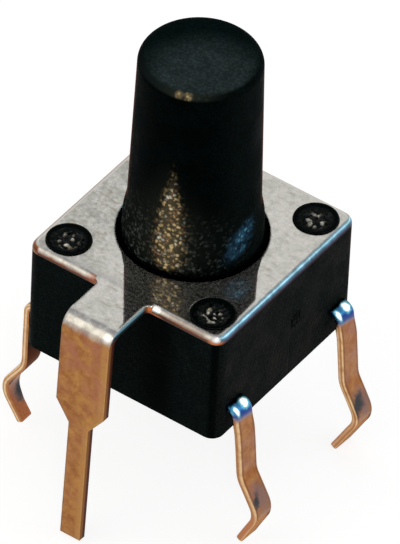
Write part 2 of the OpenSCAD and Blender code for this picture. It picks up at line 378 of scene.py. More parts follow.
def stemPlastic():
    finish = stemFinish
    material, shader = newMaterial("stemMoulding")
    grain = placeGroup(mouldGrain, cellsPerMm=17)
    coarse = placeGroup(mouldGrain, cellsPerMm=11, seed=3)
    edging = placeGroup(edgeWearAndSheen, radiusMm=0.05, breakUp=0.7)
    glitter = placeGroup(sparkle, sparksPerMm=10, cover=1)
    faint = placeGroup(sparkle, sparksPerMm=10.5, cover=0.75, seed=8)
    place = millimetres()
    parts, up = splitXYZ(place), faceNormal()["Z"]
    side = calc("ARCTAN2", parts["X"], times(parts["Y"], -1))
    z = parts["Z"]
    # painted light: the dished top is painted greyer than the sides, most towards the front right,
    # with painted shade towards the back, and fades out over the rounded rim
    fromFront = distanceTo(place, finish["topLit"])
    top = blend(fade(fromFront, 0.8, 1.95), finish["top"], finish["topShade"])
    top = shadeBy(top, fade(noiseAt(place, 2.4, 2, 0.5, 5), 0.3, 0.7, 0.86, 1.14))
    colour = blend(grain["patches"], finish["side"], finish["sideWorn"])
    # painted light: the right side of the stem is painted lighter
    lit = times(fade(side, 0.75, 1.35), fade(side, 3, 2.2))
    colour = blend(lit, colour, finish["sideRightLit"])
    colour = blend(fade(up, 0.72, 1), colour, top)
    colour = shadeBy(colour, fade(coarse["height"], 0, 0.6, 0.68, 1.32))

    def bell(value, centre, width):
        off = calc("DIVIDE", minus(value, centre), width)
        return calc("POWER", 2.718, times(off, off, -1))

    # painted reflection: a streak of gold sparks that widens towards the plate, in a wider painted
    # haze and a grey painted reflection
    width = times(fade(z, 7.2, 4.5, 0.05, 0.23), fade(z, 3.5, 4.4, 0.65, 1))
    upward = times(fade(z, 7.5, 5.3), fade(z, 3.5, 3.8))
    giltReflection = times(bell(side, finish["streakTurn"], width), upward)
    haze = times(bell(side, finish["reflectionHazeTurn"], times(width, 2.9)), upward)
    grey = times(bell(side, 0, 0.85), times(fade(z, 3.3, 3.7), fade(z, 5.8, 4.3)))
    sparks = times(fade(giltReflection, 0, 0.8), glitter["sparks"])
    tinted = blend(fade(glitter["tint"], 0.15, 0.5), finish["reflectionRed"], finish["reflectionGold"])
    tinted = blend(fade(glitter["tint"], 0.7, 1), tinted, finish["reflectionCream"])
    colour = paintOver(colour, finish, [
        (times(grey, faint["sparks"]), "greyReflection"),
        (times(haze, 0.8), "reflectionHaze"),
        (fade(giltReflection, 0.15, 0.9), "reflectionBase")])
    colour = blend(sparks, colour, tinted)
    # painted reflection: a blue patch that climbs to the right
    climb = timesPlus(minus(side, 1.34), -0.9, z)
    patchy = fade(noiseAt(place, 4.5, 2, 0.6, 1), 0.25, 0.65, 0.35, 1)
    blueReflect = times(bell(side, finish["blueTurn"], 0.3), bell(climb, finish["blueZ"], 0.4), patchy)
    # painted highlights on the rounded rim: a faint grey band and a glow, with a gold glint at the
    # front
    rim = times(fade(up, 0.25, 0.6), fade(up, 0.97, 0.8))
    highlightBand = fade(calc("ABSOLUTE", side), 1.2, 0.4, 0, 0.7)
    glow = times(rim, bell(side, finish["glowTurn"], 0.42))
    left, right = finish["glintTurns"]
    glint = times(rim, calc("MAXIMUM", bell(side, left, 0.05), bell(side, right, 0.05)))
    # painted sheen: a thin warm line where the side turns away from view
    away = putNode("LayerWeight")["Facing"]
    warmSheen = times(fade(away, 0.82, 0.97, 0, 0.6), fade(z, 4.2, 5))
    colour = paintOver(colour, finish, [
        (fade(blueReflect, 0.1, 0.8), "blueReflection"),
        (times(fade(blueReflect, 0.1, 0.9), faint["sparks"]), "blueReflectionSpark"),
        (times(rim, highlightBand), "rimSheen"),
        (times(glow, fade(faint["sparks"], 0, 0.6, 0.35, 0.8)), "rimGlow"),
        (times(glint, fade(glitter["sparks"], 0, 0.6, 0.16, 0.6)), "reflectionGold"),
        (warmSheen, "warmRimSheen"),
        # painted shade: black where the stem goes down into the hole
        (fade(z, 3.72, 3.45), "holeShade")])
    coat = calc("MAXIMUM", times(sparks, 0.4), times(glint, 0.3))
    setShader(shader, Base_Color=colour, Roughness=ease(grain["patches"], 0.5, 0.65),
              Specular_IOR_Level=0.005, Coat_Weight=coat, Coat_Roughness=0.45,
              Normal=bumpFrom(grain["height"], 0.7, 0.02, Normal=edging["rounded"]))
    return material


# Post ends melted over the cover: same plastic, glazed and lumpy in the middle, with painted
# glints on the lump crests
rivetFinish = {"plastic": (0.0006, 0.0018, 0.0018), "scorched": (0.002, 0.0036, 0.0032),
               "glintPale": (0.9, 0.87, 0.76), "glintDim": (0.36, 0.32, 0.22)}


def rivetPlastic():
    finish = rivetFinish
    material, shader = newMaterial("meltedMoulding")
    grain = placeGroup(mouldGrain, cellsPerMm=14, seed=1)
    glitter = placeGroup(sparkle, sparksPerMm=9, cover=0.9, seed=4)
    glaze = attribute("glaze")
    glintPeak = attribute("glintPeak")
    colour = blend(glaze, finish["plastic"], finish["scorched"])
    colour = shadeBy(colour, fade(grain["height"], 0, 0.6, 0.5, 1.6))
    # painted highlights: pale and dim glints on the lump crests
    crest = blend(fade(glitter["tint"], 0.2, 0.7), finish["glintDim"], finish["glintPale"])
    bright = times(glintPeak, fade(glitter["sparks"], 0, 0.7, 0.6, 1))
    colour = blend(bright, colour, crest)
    setShader(shader, Base_Color=colour, Specular_IOR_Level=0.012,
              Roughness=ease(glaze, 0.55, 0.3), Coat_Weight=times(glaze, 0.22), Coat_Roughness=0.1,
              Normal=bumpFrom(grain["height"], 0.5, 0.015))
    return material


# Plated cover sheet: silver from above, coppery on its upright faces, partly a painted reflection
# of a brown floor; its rolled edges carry painted highlights and shade
coverFinish = {
    "plate": (0.59, 0.575, 0.535), "plateCloud": (0.49, 0.485, 0.445),
    "plateDull": (0.395, 0.395, 0.365), "plateStain": (0.235, 0.205, 0.125),
    "foldShade": (0.26, 0.25, 0.25), "creamHighlight": (0.56, 0.55, 0.5),
    "creamHighlightCloud": (0.34, 0.325, 0.3), "unlitRoll": (0.2, 0.15, 0.12), "redEdge": (0.27, 0.085, 0.04),
    "redEdgeShade": (0.06, 0.018, 0.01), "copper": (0.27, 0.098, 0.03),
    "copperPale": (0.42, 0.2, 0.056), "copperRed": (0.34, 0.13, 0.07),
    "copperDark": (0.12, 0.04, 0.02), "paleBlueHighlight": (0.27, 0.52, 0.62),
    "neckShade": (0.012, 0.04, 0.055),
    "coolSheen": ((0, (0.008, 0.006, 0.012)), (0.22, (0.055, 0.04, 0.08)),
             (0.42, (0.06, 0.12, 0.18)), (0.62, (0.12, 0.27, 0.37)),
             (0.75, (0.42, 0.7, 0.78)), (0.84, (0.2, 0.38, 0.48)),
             (0.93, (0.15, 0.23, 0.28)), (0.985, (0.34, 0.36, 0.365))),
    "rear": ((0, "copper"), (0.5, "copperDark"), (0.8, "copper"), (0.92, "plateCloud"),
             (0.985, "plate")),
    "side": (0.11, 0.03, 0.018), "lipHighlight": (0.52, 0.29, 0.095), "bandHighlight": (0.5, 0.275, 0.095),
    "sideFront": (0.33, 0.135, 0.048), "tabLean": 0.0524, "glintWhite": (0.97, 0.96, 0.92),
    "glintFringe": (0.62, 0.19, 0.06), "cornerGlints": ((1, -3.03, 3.46), (2.92, -3.03, 3.46)),
    "notch": (-0.85, -3.05, 3.4), "tabGlint": (0.6, -4.54, 3.34),
}


def coverMetal():
    finish = coverFinish
    material, shader = newMaterial("coverPlating")
    plating = placeGroup(platingMottle, cloudsPerMm=3, fleckShare=0.66)
    patina = placeGroup(platingMottle, cloudsPerMm=3.4, fleckShare=0.4, seed=5)
    edging = placeGroup(edgeWearAndSheen, radiusMm=0.12, breakUp=0.35)
    sides = placeGroup(sheetSides, softness=0.3)
    dust = placeGroup(settledDust, amount=0.14)
    place, clouds = millimetres(), patina["clouds"]
    across, along, height, tilt, right = (sides[name] for name in (
        "across", "along", "height", "tilt", "right"))
    grain = noiseAt(place, 14, 2, 0.6, 1)
    top = blend(fade(plating["clouds"], 0.2, 1), finish["plate"], finish["plateCloud"])
    duller = fade(across, -0.4, -2.2)
    top = blend(times(duller, ease(plating["clouds"], 0.5, 0.9)), top, finish["plateDull"])
    stained = ease(duller, 0.42, 0.62)
    top = blend(times(plating["flecks"], stained), top, finish["plateStain"])
    patches = noiseAt(place, 7.5, 3, 0.6, 21)
    swing = ease(duller, 0.12, 0.36)
    top = shadeBy(top, timesPlus(minus(fade(patches, 0.3, 0.68), 0.5), swing, 1))
    top = shadeBy(top, fade(grain, 0.25, 0.75, 0.93, 1.06))
    yellowed = fade(noiseAt(place, 2.4, 4, 0.7, 31), 0.52, 0.66)
    top = blend(times(yellowed, ease(duller, 0.1, 0.3)), top, finish["plateStain"])
    # a soft shade runs along the inside of the front edges
    inside = times(fade(along, -2.62, -2.88), fade(along, -3, -2.9))
    top = blend(times(inside, 0.35), top, finish["foldShade"])
    # the upright faces are copper, partly a painted reflection of a brown floor
    upright = blend(clouds, finish["copper"], finish["copperPale"])
    reds = times(fade(noiseAt(place, 1.7, 3, 0.6, 11), 0.42, 0.62),
                 fade(height, 0.6, 2.4, 0.35, 0.85))
    upright = paintOver(upright, finish, [
        (reds, "copperRed"), (times(patina["flecks"], 0.18), "copperDark")])
    upright = shadeBy(upright, fade(grain, 0.25, 0.75, 0.93, 1.07))
    # painted highlight: a paler band runs down the right margin of the tab and of its pin, with a
    # painted highlight on the rounded edges beside it
    onPin = fade(height, 0.35, 0.1)
    highlightBand = calc("MAXIMUM", fade(across, 0.46, 0.62), times(onPin, fade(across, 0.08, 0.22)))
    highlightBand = times(highlightBand, fade(clouds, 0.9, 0.2, 0.1, 0.5))
    lipHighlight = times(edging["edge"], fade(tilt, 0.3, 0), fade(across, -0.3, 0.4, 0.15, 1))
    upright = paintOver(upright, finish, [(highlightBand, "bandHighlight"), (lipHighlight, "lipHighlight")])
    # the plate's own front edge is redder than the tab below it, partly a painted reflection, with
    # painted shade darkest at the foot
    plateLevel = fade(height, 3.22, 3.3)
    behindTab = fade(along, -3.6, -3.2)
    edge = blend(fade(height, 3.4, 3.29), finish["redEdge"], finish["redEdgeShade"])
    upright = blend(times(plateLevel, behindTab), upright, edge)
    # painted highlight: the rolled front edge is painted cream, with the painted fold shade along
    # its top
    ragged = timesPlus(noiseAt(place, 5, 3, 0.6, 2), 0.5, minus(tilt, 0.25))
    frontRoll = fade(ragged, 0.14, 0.64)
    creamHighlight = blend(clouds, finish["creamHighlightCloud"], finish["creamHighlight"])
    shade = times(fade(timesPlus(minus(ragged, tilt), 0.25, tilt), 0.8, 0.95),
                  fade(noiseAt(place, 3.6, 3, 0.6, 9), 0.36, 0.6, 0.15, 1))
    bright = blend(shade, creamHighlight, finish["foldShade"])
    bright = blend(fade(tilt, 0.96, 0.999), bright, top)
    # the painted highlight on the right-hand stretch is only bright at its two ends; its middle is
    # painted dark
    stretch = times(fade(across, 1.1, 1.5), fade(across, 2.85, 2.4))
    bright = blend(times(stretch, 0.6, fade(tilt, 0.97, 0.85)), bright, finish["unlitRoll"])
    frontSide = blend(frontRoll, upright, bright)
    # painted shade and reflection: rear and left edges are banded by tilt, copper below, a darker
    # band, then silver
    rearSide = colourBands(tilt, [(at, finish[name]) for at, name in finish["rear"]])
    frontSide = blend(sides["rear"], frontSide, rearSide)
    # painted reflection: right-facing edges are painted in cool blue bands by tilt, with a pale
    # blue highlight
    coolSheen = colourBands(tilt, finish["coolSheen"])
    coolSheen = shadeBy(coolSheen, fade(noiseAt(place, 4, 3, 0.6, 5), 0.3, 0.7, 0.7, 1.25))
    # painted highlight: the tab neck's right side is pale blue at the top, with painted shade
    # below
    onTab = fade(along, -3.1, -3.25)
    neck = blend(fade(height, 3.34, 3.44), finish["neckShade"], finish["paleBlueHighlight"])
    coolSheen = blend(onTab, coolSheen, neck)
    # the sheared side is copper for the half nearest the front, then dark
    depth = plus(along, timesPlus(minus(3.39, height), finish["tabLean"], 4.65))
    sheared = blend(fade(depth, 0.06, 0.15), finish["sideFront"], finish["side"])
    rightSide = blend(fade(height, 3.2, 3.34), sheared, coolSheen)
    facingRight = fade(right, 0, 0.35)
    rolled = blend(facingRight, frontSide, rightSide)
    colour = blend(fade(tilt, 0.985, 0.9995), rolled, top)
    # painted shade: the painted highlight on the left front edge dulls towards the tab
    notch = distanceTo(place, finish["notch"])
    dulled = times(fade(notch, 0.42, 0.12), fade(tilt, 0.99, 0.9))
    # painted highlight on the tab's bend
    hot = distanceTo(place, finish["tabGlint"])
    colour = paintOver(colour, finish, [
        (times(dulled, 0.8), "redEdge"), (fade(hot, 0.2, 0.03, 0, 0.7), "glintWhite")])
    # painted highlights: corners painted white where the light catches them, with a red fringe
    # below
    for spot in finish["cornerGlints"]:
        away = distanceTo(place, spot)
        colour = paintOver(colour, finish, [
            (times(fade(away, 0.34, 0.12), fade(tilt, 0.5, 0.1)), "glintFringe"),
            (times(fade(away, 0.19, 0.07), fade(tilt, 0.15, 0.4)), "glintWhite")])
    rough = plus(fade(plating["relief"], 0.3, 0.7, 0.025, 0.06), fade(tilt, 1, 0.2, 0, 0.3))
    turned = times(fade(right, 0.5, 1), fade(tilt, 0.25, 0.05))
    metal = times(minus(1, dust["dust"]), minus(1, times(turned, 0.8)))
    setShader(shader, Base_Color=colour, Roughness=rough, Metallic=metal, Specular_IOR_Level=0,
              Normal=bumpFrom(plating["relief"], 0.06, 0.003, Normal=edging["rounded"]))
    return material


# Terminal strips: coppery broad faces, paler cut edges, and painted blue reflections and white
# highlights on the bends.
# Lengths run along the strip from where its bend starts; across is -1..1 over the width.
terminalFinish = {
    "broad": (0.285, 0.096, 0.028), "broadPale": (0.4, 0.185, 0.07),
    "broadPink": (0.33, 0.15, 0.105), "cut": (0.34, 0.14, 0.046), "cutMid": (0.42, 0.2, 0.08),
    "cutPale": (0.76, 0.54, 0.32), "tailRed": (0.43, 0.165, 0.07), "lipHighlight": (0.74, 0.5, 0.26),
    "lipShade": (0.15, 0.062, 0.02),
    "inner": ((0.34, (0.01, 0.005, 0.004)), (0.5, (0.15, 0.046, 0.02)),
              (0.66, (0.3, 0.105, 0.04)), (0.95, (0.36, 0.125, 0.05))),
    "under": (0.72, 0.33, 0.14), "underShade": (0.22, 0.08, 0.038),
    "bendReflection": ((0, (0.001, 0.002, 0.006)), (0.07, (0.004, 0.006, 0.035)),
             (0.17, (0.03, 0.13, 0.26)), (0.36, (0.045, 0.19, 0.4)),
             (0.5, (0.02, 0.055, 0.26)), (0.64, (0.045, 0.07, 0.23)),
             (0.78, (0.23, 0.19, 0.24)), (0.95, (0.3, 0.16, 0.11))),
    "bendReflectionLength": 0.56, "flash": (0.96, 1, 1), "halo": (0.16, 0.55, 0.66),
    "flashes": ((0.15, 0.42, 0.095, 0.34), (0.19, -0.74, 0.095, 0.2)),
    "grime": (0.034, 0.044, 0.052), "grimeRun": 3.12, "haze": (0.215, 0.13, 0.115),
}


def terminalMetal():
    finish = terminalFinish
    material, shader = newMaterial("terminalBronze")
    patina = placeGroup(platingMottle, cloudsPerMm=3.6, fleckShare=0.4, seed=9)
    edging = placeGroup(edgeWearAndSheen, radiusMm=0.03, breakUp=0.3)
    place, clouds = millimetres(), patina["clouds"]
    run, across, skin = attribute("run"), attribute("across"), attribute("skin")
    up = faceNormal()["Z"]
    pinks = fade(noiseAt(place, 2.2, 2, 0.5, 3), 0.45, 0.65)
    margin = calc("ABSOLUTE", across)
    # painted shadow: a dark line just inside each margin of the broad face
    lipShadowLine = times(fade(margin, 0.66, 0.78), fade(margin, 0.92, 0.82))
    broad = blend(clouds, finish["broad"], finish["broadPale"])
    broad = paintOver(broad, finish, [
        (times(pinks, 0.6), "broadPink"), (times(lipShadowLine, 0.6), "lipShade")])
    parts = splitXYZ(place)
    leftHand = fade(parts["X"], 1, -1)
    rightHand = minus(1, leftHand)
    toRear = fade(parts["Y"], -1, 1)
    cut = blend(clouds, finish["cut"], finish["cutMid"])
    # the pale line of the shear runs at a different height on each leg
    lineAt = timesPlus(rightHand, ease(toRear, 0.42, -0.3), 0.05)
    centre = times(fade(gap(skin, lineAt), 0.5, 0.08), fade(clouds, 0, 0.8, 0.7, 1),
                   ease(leftHand, 0.6, 1))
    tail = times(fade(run, 3.4, 3.8), times(rightHand, ease(toRear, 0.9, 0.35)))
    cut = paintOver(cut, finish, [(centre, "cutPale"), (tail, "tailRed")])
    colour = blend(fade(skin, 0.88, 0.99), cut, broad)
    # painted highlight along the rounded lip of the cut edge
    lipHighlight = times(fade(skin, 0.5, 0.72), fade(skin, 1, 0.9), fade(across, 0.3, -0.3, 0.15, 1),
                fade(clouds, 0, 0.8, 0.45, 1))
    colour = blend(lipHighlight, colour, finish["lipHighlight"])
    # painted shade: the inner side is painted dark up under the housing, and redder towards the
    # tip
    inner = colourBands(times(run, 0.25), finish["inner"])
    colour = blend(fade(skin, -0.8, -0.98), colour, inner)
    # painted light: the underside is painted a bright copper so that it reads as lit, with painted
    # shade towards one edge
    underside = times(fade(up, -0.05, -0.2), fade(skin, 0.6, 0.95))
    below = blend(fade(across, 0.2, 0.9), finish["under"], finish["underShade"])
    colour = blend(underside, colour, below)
    # grime in the hollow of each kink, in a short slanting smear with a haze beside it
    further = timesPlus(leftHand, -0.72, minus(run, finish["grimeRun"]))
    shifted = timesPlus(leftHand, -0.9, ease(toRear, 0.5, 0.42))
    slant = timesPlus(further, 1.2, plus(across, shifted))
    ragged = timesPlus(noiseAt(place, 6, 3, 0.6, 6), 1.2, -0.6)

    def blot(along, aside, length, width):
        a = calc("DIVIDE", along, length)
        b = calc("DIVIDE", aside, width)
        reach = calc("SQRT", plus(times(a, a), times(b, b)))
        return plus(reach, ragged)

    onFace = fade(calc("ABSOLUTE", skin), 0.85, 0.98)
    haze = fade(blot(further, minus(across, 0.15), 0.5, 1), 1.3, 0.3)
    grimeLength = timesPlus(leftHand, 0.16, ease(toRear, 0.23, 0.31))
    grimeWidth = timesPlus(leftHand, 0.3, ease(toRear, 0.42, 0.85))
    grime = fade(blot(further, slant, grimeLength, grimeWidth), 1.25, 0.35)
    colour = paintOver(colour, finish, [
        (times(haze, onFace, 0.85), "haze"), (times(grime, onFace, 0.92), "grime")])
    # painted reflections and highlights: blue bands and bright flashes over the bend beside the
    # housing, on the right side only
    reached = calc("DIVIDE", timesPlus(across, -0.07, run), finish["bendReflectionLength"])
    bendReach = timesPlus(ragged, 0.14, reached)
    bendPainted = times(fade(bendReach, 1, 0.74), fade(skin, -0.8, -0.3), rightHand)
    colour = blend(bendPainted, colour, colourBands(bendReach, finish["bendReflection"]))
    for runAt, acrossAt, length, width in finish["flashes"]:
        spot = blot(minus(run, runAt), minus(across, acrossAt), length, width)
        colour = paintOver(colour, finish, [
            (times(fade(spot, 1.75, 1.05), 0.7, rightHand), "halo"),
            (times(fade(spot, 1.15, 0.85), rightHand), "flash")])
    rough = timesPlus(underside, 0.4, fade(patina["relief"], 0.3, 0.7, 0.16, 0.3))
    hidden = times(fade(skin, -0.8, -0.98), fade(run, 2.9, 2.3))
    tarnished = calc("MAXIMUM", underside, hidden)
    setShader(shader, Base_Color=colour, Roughness=rough, Specular_IOR_Level=0,
              Metallic=ease(tarnished, 1, 0.1),
              Normal=bumpFrom(patina["relief"], 0.3, 0.008, Normal=edging["rounded"]))
    return material


# Spring steel of the dome
domeFinish = {"steel": (0.55, 0.56, 0.57), "tint": (0.42, 0.38, 0.3)}


def domeMetal():
    finish = domeFinish
    material, shader = newMaterial("domeSteel")
    plating = placeGroup(platingMottle, cloudsPerMm=2.5, fleckShare=0.2, seed=12)
    edging = placeGroup(edgeWearAndSheen, radiusMm=0.02, breakUp=0.3)
    colour = blend(plating["clouds"], finish["steel"], finish["tint"])
    setShader(shader, Base_Color=colour, Metallic=1,
              Roughness=fade(plating["relief"], 0.3, 0.7, 0.18, 0.32),
              Normal=bumpFrom(plating["relief"], 0.2, 0.004, Normal=edging["rounded"]))
    return material


rivetLook, terminalLook = rivetPlastic(), terminalMetal()
looks = {"housing": housingPlastic(), "cover": coverMetal(), "plunger": stemPlastic(),
         "snap_dome": domeMetal(), "terminal_strip_front": terminalLook,
         "terminal_strip_rear": terminalLook}
for name, look in looks.items():
    for slot in nodes[name].material_slots:
        slot.material = look
print("finishes set on", len(looks), "nodes")


def shareOf(value, start, stop):
    return min(1, max(0, (value - start) / (stop - start)))


def smoothShare(value, start, stop):
    share = shareOf(value, start, stop)
    return share * share * (3 - 2 * share)


def joinRings(shape, rings):
    for upper, lower in zip(rings, rings[1:]):
        count = max(len(upper), len(lower))
        for n in range(count):
            m = (n + 1) % count
            corners = [upper[n % len(upper)], upper[m % len(upper)], lower[m % len(lower)],
                       lower[n % len(lower)]]
            shape.faces.new(list(dict.fromkeys(corners)))


def turnProfile(shape, profile, segments):
    rings = []
    for r, z in profile:
        turns = [2 * pi * n / segments for n in range(segments if r else 1)]
        rings.append([shape.verts.new((r * mm * cos(t), r * mm * sin(t), z * mm)) for t in turns])
    joinRings(shape, rings)


def noiseOf(*spot):
    return noise.noise(spot)


def floatLayers(shape, *names):
    return [shape.verts.layers.float.new(name) for name in names]


def putInScene(name, data):
    thing = bpy.data.objects.new(name, data)
    bpy.context.scene.collection.objects.link(thing)
    return thing


# Makes a piece, rides it on its body and stands it in for a CAD node
def addPiece(name, build, look, body, replaced=None, crispAngle=0):
    mesh = bpy.data.meshes.new(name)
    shape = bmesh.new()
    build(shape)
    bmesh.ops.recalc_face_normals(shape, faces=shape.faces)
    for face in shape.faces:
        face.smooth = True
    shape.to_mesh(mesh)
    shape.free()
    mesh.materials.append(look)
    piece = putInScene(name, mesh)
    if crispAngle:
        creases = piece.modifiers.new("crispCorners", "EDGE_SPLIT")
        creases.split_angle = radians(crispAngle)
    if replaced:
        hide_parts(replaced)
    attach(piece, body)
    return piece


# Turned stem with a shallow dish in its top, flared at its foot; radii and heights in mm
stem = {
    "segments": 144, "arcSteps": 12, "edgeTurn": 87, "sideSteps": 40, "topRadius": 1.622,
    "edgeRadius": 0.27, "dishDepth": 0.045, "dishRadius": 1.22, "rimZ": 3.5, "rimRadius": 1.77,
    "flare": 0.08, "flareFrom": (4.8, 4.1), "flangeTop": 3.26, "flangeBottom": 2.81,
    "flangeNeck": 1.777, "puckRadius": 1.3, "puckBottom": 1.9, "pipRadius": 0.45,
    "breakEdge": 0.04, "crispAngle": 32,
}


def stemProfile(topZ, footZ, flangeRadius):
    s = stem
    points = []
    for step in range(s["arcSteps"] + 1):
        share = step / s["arcSteps"]
        sink = 0.5 + 0.5 * cos(pi * share)
        points.append((s["dishRadius"] * share, topZ - s["dishDepth"] * sink))
    flat = s["topRadius"] - s["edgeRadius"]
    for step in range(s["arcSteps"] + 1):
        turn = radians(90 - s["edgeTurn"] * step / s["arcSteps"])
        points.append((flat + s["edgeRadius"] * cos(turn),
                       topZ - s["edgeRadius"] * (1 - sin(turn))))
    sideR, sideZ = points[-1]
    for step in range(1, s["sideSteps"] + 1):
        share = step / s["sideSteps"]
        z = sideZ + (s["rimZ"] - sideZ) * share
        flare = s["flare"] * smoothShare(z, *s["flareFrom"])
        points.append((sideR + (s["rimRadius"] - sideR) * share + flare, z))
    b = s["breakEdge"]
    points += [(s["flangeNeck"], s["flangeTop"] + b), (s["flangeNeck"] + b, s["flangeTop"]),
               (flangeRadius - b, s["flangeTop"]), (flangeRadius, s["flangeTop"] - b),
               (flangeRadius, s["flangeBottom"] + b), (flangeRadius - b, s["flangeBottom"]),
               (s["puckRadius"], s["flangeBottom"]), (s["puckRadius"], s["puckBottom"] + b),
               (s["puckRadius"] - b, s["puckBottom"]), (s["pipRadius"], s["puckBottom"]),
               (s["pipRadius"], footZ + b), (s["pipRadius"] - b, footZ), (0, footZ)]
    return points


def buildStem(shape):
    low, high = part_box("plunger")
    turnProfile(shape, stemProfile(high.z / mm, low.z / mm, high.x / mm), stem["segments"])


addPiece("button_stem", buildStem, looks["plunger"], "plunger", "plunger",
         stem["crispAngle"])
print("stem made")

# Snap dome, a shallow cap that gives way under the stem's pip
dome = {"thick": 0.07, "segments": 120, "steps": 24, "edge": 0.012, "pressedShare": 0.28,
        "crispAngle": 40}


def buildDome(shape):
    s = dome
    low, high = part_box("snap_dome")
    rim, foot = high.x / mm, low.z / mm
    rise = high.z / mm - foot - s["thick"]
    inside = (rim * rim + rise * rise) / (2 * rise)
    centre = foot + rise - inside

    def arc(radius):
        reach = [(rim - s["edge"]) * n / s["steps"] for n in range(s["steps"] + 1)]
        return [(r, centre + sqrt(radius * radius - r * r)) for r in reach]

    over, under = arc(inside + s["thick"]), arc(inside)
    turnProfile(shape, over + [(rim, over[-1][1] - s["edge"]), (rim, foot + s["edge"])]
                + under[::-1], s["segments"])


domePiece = addPiece("spring_dome", buildDome, looks["snap_dome"], "base",
                     "snap_dome", dome["crispAngle"])
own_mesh(domePiece)
print("snap dome made")


# Melted post ends, in mm: outline rings from the middle to inside the cover's hole
rivet = {
    "inset": 0.77, "segments": 72, "lumpRadius": 0.5, "lumpHeight": 0.085, "lumpSize": 0.125,
    "lumpShift": (0.02, -0.05), "glintAt": (0.07, -0.13), "glintReach": 0.31, "crown": 0.034,
    "sag": 0.02, "ripple": 0.006, "crestFrom": (0.3, 0.55),
    "rim": ((0.545, 0.036), (0.572, 0.028), (0.588, 0.01), (0.576, -0.016), (0.556, -0.05),
            (0.55, -0.1)),
    "innerRings": 30, "firstSeed": 3.7, "seedStep": 2.9,
}


def buildRivet(centre, seed):
    def build(shape):
        glaze, glintPeak = floatLayers(shape, "glaze", "glintPeak")
        r = rivet
        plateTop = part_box("cover")[1].z / mm
        path = [(r["rim"][0][0] * n / r["innerRings"], None) for n in range(r["innerRings"])]
        path += list(r["rim"]) + [(0, r["rim"][-1][1])]
        rings = []
        for radius, height in path:
            count = 1 if radius == 0 else r["segments"]
            ring = []
            for n in range(count):
                turn = 2 * pi * n / count
                x, y = radius * cos(turn), radius * sin(turn)
                off = Vector((x, y)) - Vector(r["lumpShift"])
                middle = max(0, 1 - (off.length / r["lumpRadius"]) ** 2)
                spot = Vector((x / r["lumpSize"] + seed, y / r["lumpSize"], seed * 1.7))
                lump = max(0, noiseOf(*spot)) * 1.9 + 0.3 * noiseOf(*spot * 2.3)
                ripple = r["ripple"] * noiseOf(x * 5, y * 5, seed)
                z = height
                if height is None:
                    bead = r["lumpHeight"] * lump * middle ** 0.6
                    z = r["crown"] + bead - r["sag"] * middle + ripple
                vert = shape.verts.new(((centre[0] + x) * mm, (centre[1] + y) * mm,
                                        (plateTop + z) * mm))
                if height is None:
                    vert[glaze] = min(1, middle * 1.8)
                    # the glint mask marks where glints are painted, on lump crests near one spot
                    near = (Vector((x, y)) - Vector(r["glintAt"])).length / r["glintReach"]
                    crest = shareOf(lump, *r["crestFrom"])
                    vert[glintPeak] = crest * min(1, max(0, 1 - near ** 2) * 1.6)
                ring.append(vert)
            rings.append(ring)
        joinRings(shape, rings)
    return build


half = wallAt - rivet["inset"]
corners = {"front_left": (-half, -half), "front_right": (half, -half),
           "rear_left": (-half, half), "rear_right": (half, half)}
for number, (corner, centre) in enumerate(corners.items()):
    seed = rivet["firstSeed"] + rivet["seedStep"] * number
    addPiece("rivet_head_" + corner, buildRivet(centre, seed), rivetLook,
             "base")
print("rivet heads made:", len(corners))

# Terminal strips swept along their centreline, in mm; heights are above the board
strip = {
    "width": 0.65, "thick": 0.2, "corner": 0.045, "cornerSteps": 5, "barZ": 0.85,
    "wallOut": 0.26, "reach": 0.641, "kinkOut": 0.628,
    "kinkMore": {"left": 0.07, "front": -0.05, "rear": -0.07}, "kinkStart": -1.36,
    "kinkPeak": -2.42, "tip": {"left": -3.42, "front": -3.5, "rear": -3.74},
    "tipOut": {"left": 0.06, "front": 0.07, "rear": -0.15}, "narrowed": 0.68,
    "narrowFrom": (3.1, 4.2), "bends": (0.25, 0.9, 0.62), "bendStep": radians(4),
    "straightStep": 0.1, "wobble": 0.006, "settle": (0.35, 1), "leanFront": 0.05, "leanRear": 0.06,
    "twist": 3, "tipRound": ((0.05, 0), (0.02, 0.012), (0, 0.035)), "sunk": 0.002,
    "padInset": 0.12, "padTop": 1.148, "centrePad": 0.45, "outerPad": 0.3, "crispAngle": 40,
}


def roundCorners(corners, radii):
    points = [corners[0]]
    for before, corner, after, radius in zip(corners, corners[1:], corners[2:], radii):
        into, away = (corner - before).normalized(), (after - corner).normalized()
        turn = atan2(into.x * away.y - into.y * away.x, into.dot(away))
        start = corner - into * radius * tan(abs(turn) / 2)
        inward = Vector((-into.y, into.x)) * copysign(radius, turn)
        steps = ceil(abs(turn) / strip["bendStep"])
        for step in range(steps + 1):
            spoke = Matrix.Rotation(turn * step / steps, 2) @ -inward
            points.append(start + inward + spoke)
    return points + [corners[-1]]


def legHalf(outermost, leg):
    s = strip
    face = outermost - s["reach"]
    corners = [Vector(c) for c in ((0, s["barZ"]), (wallAt + s["wallOut"], s["barZ"]),
                                   (face, s["kinkStart"]),
                                   (face + s["kinkOut"] + s["kinkMore"][leg], s["kinkPeak"]),
                                   (face + s["tipOut"][leg], s["tip"][leg]))]
    bent = roundCorners(corners, s["bends"])
    runs = [0]
    for a, b in zip(bent, bent[1:]):
        runs.append(runs[-1] + (b - a).length)
    zero = runs[1]
    half = []
    for a, b, start, stop in zip(bent, bent[1:], runs, runs[1:]):
        steps = ceil((stop - start) / s["straightStep"])
        half += [(a.lerp(b, n / steps), start + (stop - start) * n / steps - zero)
                 for n in range(steps)]
    away = (bent[-1] - bent[-2]).normalized()
    end = runs[-1] - zero
    half = [(p, run, 0) for p, run in half if run < end - s["tipRound"][0][0]]
    half += [(bent[-1] - away * back, end - back, shrink) for back, shrink in s["tipRound"]]
    return half


